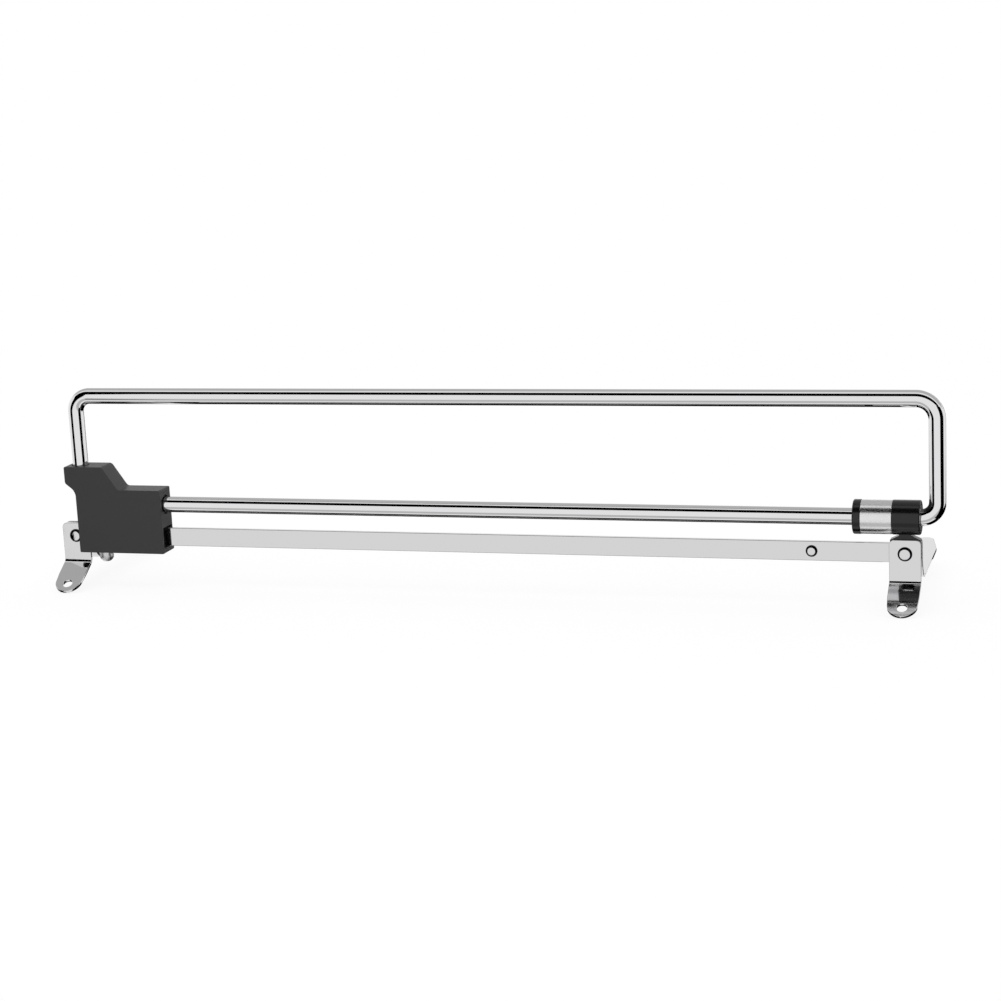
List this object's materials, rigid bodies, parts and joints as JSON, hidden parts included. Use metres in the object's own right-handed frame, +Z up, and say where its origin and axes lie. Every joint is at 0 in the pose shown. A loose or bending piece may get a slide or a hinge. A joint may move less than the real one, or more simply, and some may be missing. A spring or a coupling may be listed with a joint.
{
  "type": "pull-out clothes rail",
  "caption": "Pull-out clothes rail: a chromed bar loop on a plastic block slides along a flat rail and through a guide bush, with bent sheet brackets to screw down.",
  "frame": {"origin": "midway between the screw holes of the two rear flanges, on the flanges' underside", "axes": "+Z up, with the bar loop on top as in the picture; +X along the rails, the way the loop pulls out; +Y towards the rear flanges' round tips"},
  "size_m": [0.4476, 0.1081, 0.102],
  "materials": {
    "chromed_bar": "polished chrome plating",
    "plated_steel": "bright plated sheet steel",
    "bright_rivet": "bright plated, domed",
    "black_plastic": "black moulding with a soft shine",
    "grey_plastic": "dark grey moulding, matte",
    "inner_plastic": "slippery grey plastic, hidden"
  },
  "bodies": {
    "base": {"base_rail": "plated_steel", "left_front_lug": "plated_steel", "left_rear_lug": "plated_steel", "right_front_lug": "plated_steel", "right_rear_lug": "plated_steel", "left_rivet": "bright_rivet", "right_rivet": "bright_rivet", "stop_rivet": "bright_rivet", "bush_body": "black_plastic", "bush_liner": "inner_plastic", "bush_sleeve": "chromed_bar", "bush_end_ring": "black_plastic"},
    "carriage": {"loop_rod": "chromed_bar", "slider_body": "grey_plastic", "glide_insert": "inner_plastic", "glide_screw": "bright_rivet", "rod_pins": "plated_steel"}
  },
  "joints": [
    {"name": "loop_pull", "type": "slide", "parent": "base", "child": "carriage", "axis": [1, 0, 0], "range_m": [0, 0.3279]}
  ]
}
